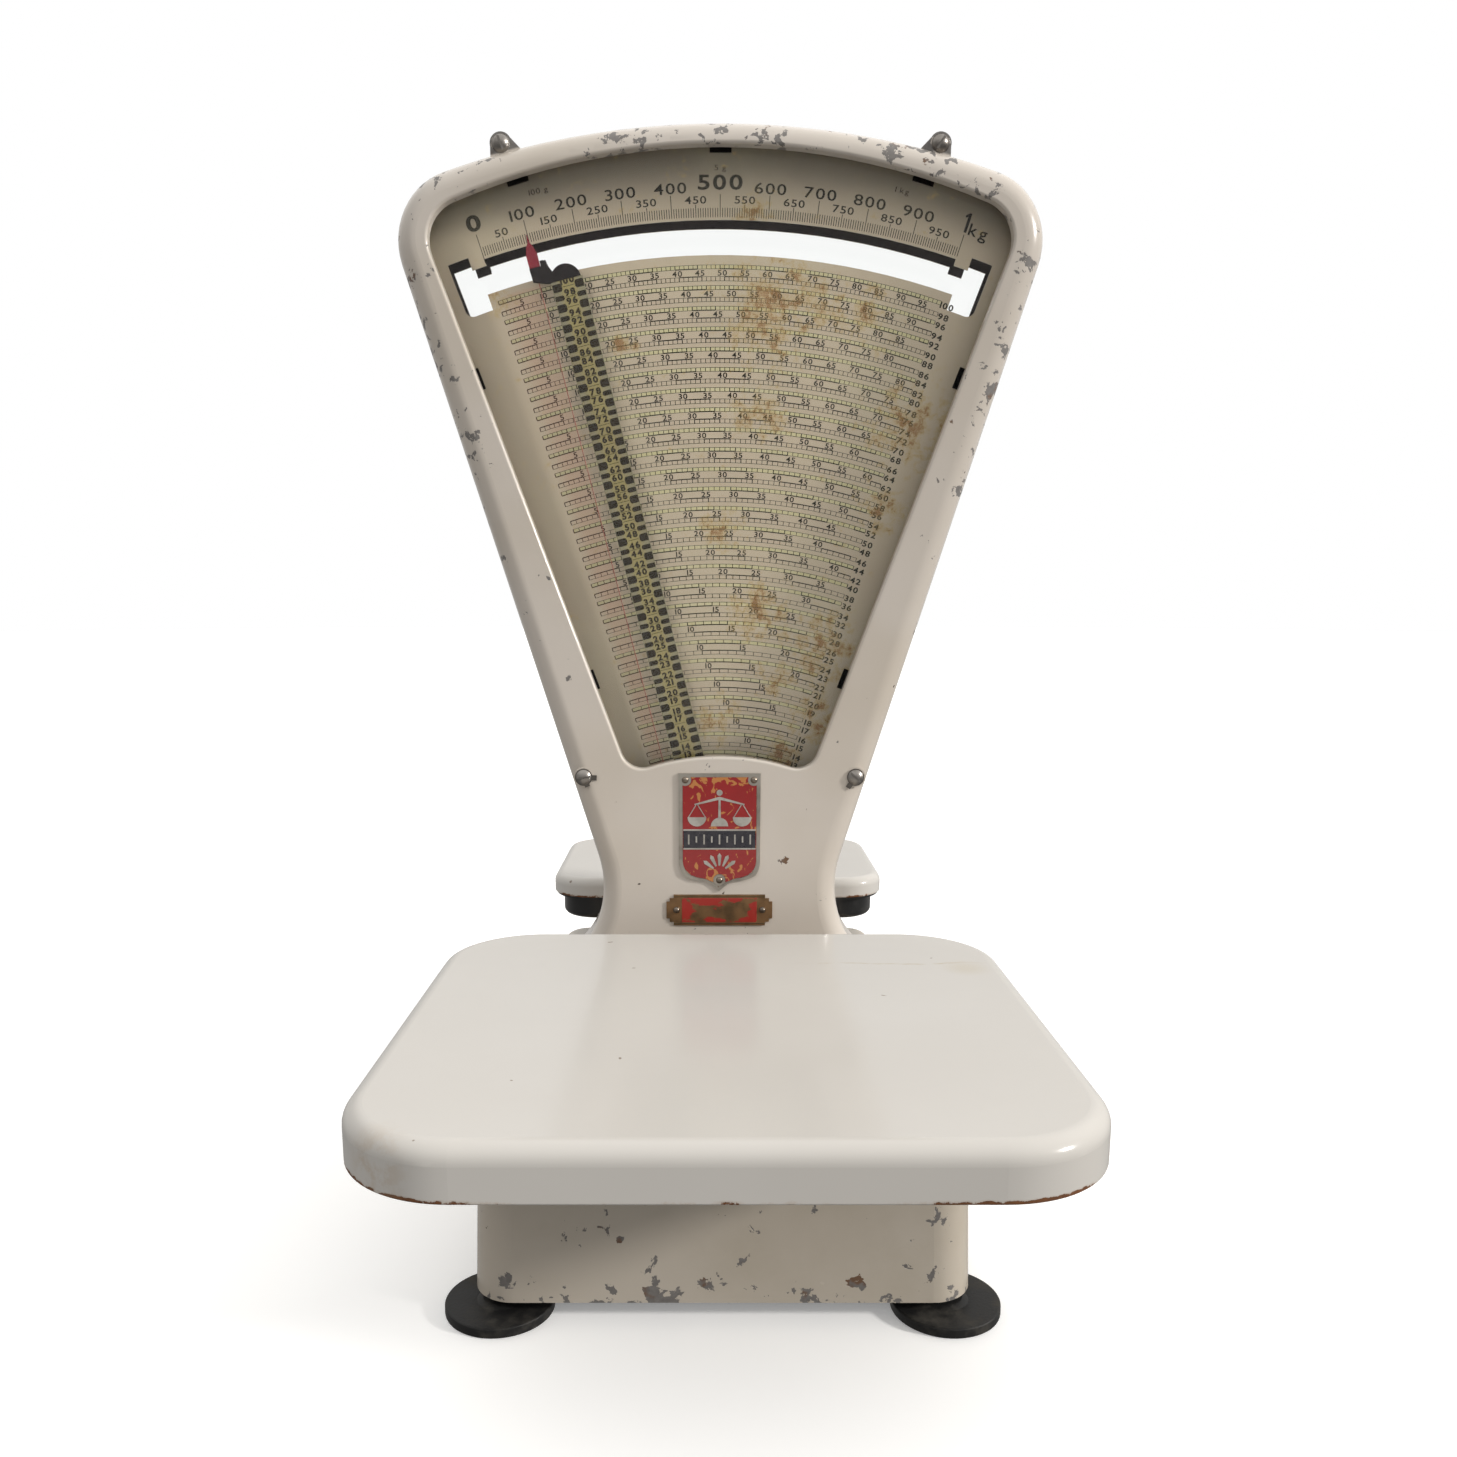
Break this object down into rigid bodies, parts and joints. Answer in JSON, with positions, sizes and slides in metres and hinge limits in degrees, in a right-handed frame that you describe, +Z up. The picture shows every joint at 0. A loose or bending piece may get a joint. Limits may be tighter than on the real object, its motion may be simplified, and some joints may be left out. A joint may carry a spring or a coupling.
{
  "type": "fan-head counter scale",
  "caption": "Counter beam scale with a flat goods pan, a smaller weights pan and a pendulum pointer behind glass in a fan-shaped head.",
  "frame": {"origin": "on the counter, under the middle of the scale's footprint", "axes": "+X to the right as the customer sees the dial, +Y away from the customer from the goods pan to the weights pan, +Z up"},
  "size_m": [0.3594, 0.559, 0.5887],
  "materials": {
    "cream_enamel": "glossy cream paint, chipped to grey along the edges",
    "white_enamel": "glossy off-white vitreous enamel, rust at the lower rim",
    "black_enamel": "semi-gloss black paint",
    "grey_iron": "machined grey iron",
    "bright_steel": "bright steel",
    "brass": "turned brass",
    "badge_brass": "brass plate with worn red fill",
    "nickel_plate": "tarnished nickel plating",
    "badge_metal": "aluminium rim round red enamel",
    "window_glass": "clear sheet glass",
    "black_steel": "dull black",
    "chart_print": "aged cream print, rust-stained",
    "ladder_print": "olive-yellow strip with black marks",
    "pointer_red": "dark red paint",
    "black_rubber": "matt rubber",
    "foot_rubber": "matt black, slightly dusty"
  },
  "bodies": {
    "root": {"base_casting": "cream_enamel", "bottom_cover": "black_enamel", "bottom_cover_screws": "bright_steel", "fulcrum_bridge": "grey_iron", "fulcrum_bridge_bolts": "bright_steel", "fulcrum_bearings": "bright_steel", "stay_anchor_pin": "bright_steel", "head_front_shell": "cream_enamel", "head_rear_shell": "cream_enamel", "head_foot_bolts": "bright_steel", "front_glass": "window_glass", "rear_glass": "window_glass", "glass_clips": "black_steel", "chart_plate_front": "chart_print", "chart_plate_rear": "chart_print", "chart_posts": "bright_steel", "chart_spacers": "bright_steel", "shell_screws": "nickel_plate", "lock_washers": "nickel_plate", "shield_badge": "badge_metal", "small_plate": "badge_brass", "badge_rivets": "nickel_plate", "pendulum_brackets": "bright_steel", "pendulum_bearings": "brass", "dashpot_cylinder": "brass", "dashpot_lid": "brass"},
    "beam": {"main_beam": "grey_iron", "knife_edges": "bright_steel", "beam_link_pin": "bright_steel", "poise_rod": "bright_steel", "damper_arm": "grey_iron"},
    "zero_poise": {"zero_poise_nut": "brass"},
    "goods_carrier": {"goods_carrier_stem": "black_enamel", "goods_carrier_bearings": "bright_steel", "goods_carrier_spider": "black_enamel", "goods_carrier_buffers": "black_rubber"},
    "goods_pan": {"goods_pan": "white_enamel"},
    "weights_carrier": {"weights_carrier_stem": "black_enamel", "weights_carrier_bearings": "bright_steel", "weights_carrier_tray": "black_enamel"},
    "weights_pan": {"weights_pan": "white_enamel"},
    "front_stay": {"front_stay": "bright_steel"},
    "rear_stay": {"rear_stay": "bright_steel"},
    "pendulum": {"pendulum_shaft": "bright_steel", "pendulum_arm": "bright_steel", "pendulum_bob": "brass", "crank_arm": "bright_steel", "pointer_frame": "black_steel", "pointer_ladder": "ladder_print", "pointer_hairline": "pointer_red", "pointer_head": "black_steel", "pointer_tip": "pointer_red", "rear_pointer_frame": "black_steel"},
    "link": {"link_rod": "bright_steel"},
    "dashpot_plunger": {"dashpot_plunger": "bright_steel"},
    "foot_front_left": {"foot_front_left": "foot_rubber"},
    "foot_front_right": {"foot_front_right": "foot_rubber"},
    "foot_rear_left": {"foot_rear_left": "foot_rubber"},
    "foot_rear_right": {"foot_rear_right": "foot_rubber"}
  },
  "joints": [
    {"name": "beam_rock", "type": "hinge", "parent": "root", "child": "beam", "pos_m": [0, 0.0335, 0.054], "axis": [1, 0, 0], "range_deg": [-0.6, 5.38]},
    {"name": "goods_travel", "type": "slide", "parent": "root", "child": "goods_carrier", "axis": [0, 0, 1], "range_m": [-0.01669, 0.00185]},
    {"name": "weights_travel", "type": "slide", "parent": "root", "child": "weights_carrier", "axis": [0, 0, 1], "range_m": [-0.00185, 0.01669]},
    {"name": "front_stay_rock", "type": "hinge", "parent": "root", "child": "front_stay", "pos_m": [0, 0.0335, 0.029], "axis": [1, 0, 0], "range_deg": [-0.62, 5.54]},
    {"name": "rear_stay_rock", "type": "hinge", "parent": "root", "child": "rear_stay", "pos_m": [0, 0.0335, 0.029], "axis": [1, 0, 0], "range_deg": [-0.62, 5.54]},
    {"name": "pendulum_swing", "type": "hinge", "parent": "root", "child": "pendulum", "pos_m": [0, 0.0625, 0.099], "axis": [0, 1, 0], "range_deg": [-3.63, 32.63]},
    {"name": "link_rise", "type": "slide", "parent": "root", "child": "link", "axis": [0, 0, 1], "range_m": [-0.00045, 0.00402]},
    {"name": "dashpot_rise", "type": "slide", "parent": "root", "child": "dashpot_plunger", "axis": [0, 0, 1], "range_m": [-0.00093, 0.00837]},
    {"name": "goods_pan_lift", "type": "slide", "parent": "goods_carrier", "child": "goods_pan", "axis": [0, 0, 1], "range_m": [0, 0.06]},
    {"name": "weights_pan_lift", "type": "slide", "parent": "weights_carrier", "child": "weights_pan", "axis": [0, 0, 1], "range_m": [0, 0.06]},
    {"name": "zero_poise_slide", "type": "slide", "parent": "beam", "child": "zero_poise", "axis": [0, 0.9991, -0.0417], "range_m": [-0.02, 0.014]},
    {"name": "foot_front_left_screw", "type": "slide", "parent": "root", "child": "foot_front_left", "axis": [0, 0, -1], "range_m": [-0.0035, 0.008]},
    {"name": "foot_front_right_screw", "type": "slide", "parent": "root", "child": "foot_front_right", "axis": [0, 0, -1], "range_m": [-0.0035, 0.008]},
    {"name": "foot_rear_left_screw", "type": "slide", "parent": "root", "child": "foot_rear_left", "axis": [0, 0, -1], "range_m": [-0.0035, 0.008]},
    {"name": "foot_rear_right_screw", "type": "slide", "parent": "root", "child": "foot_rear_right", "axis": [0, 0, -1], "range_m": [-0.0035, 0.008]}
  ],
  "couplings": [
    {"joint": "goods_travel", "follows": "beam_rock", "m_per_rad": -0.1725},
    {"joint": "weights_travel", "follows": "beam_rock", "m_per_rad": 0.1725},
    {"joint": "front_stay_rock", "follows": "beam_rock", "ratio": 1},
    {"joint": "rear_stay_rock", "follows": "beam_rock", "ratio": 1},
    {"joint": "pendulum_swing", "follows": "beam_rock", "ratio": 5.8863},
    {"joint": "link_rise", "follows": "beam_rock", "m_per_rad": 0.0415},
    {"joint": "dashpot_rise", "follows": "beam_rock", "m_per_rad": 0.0865}
  ]
}
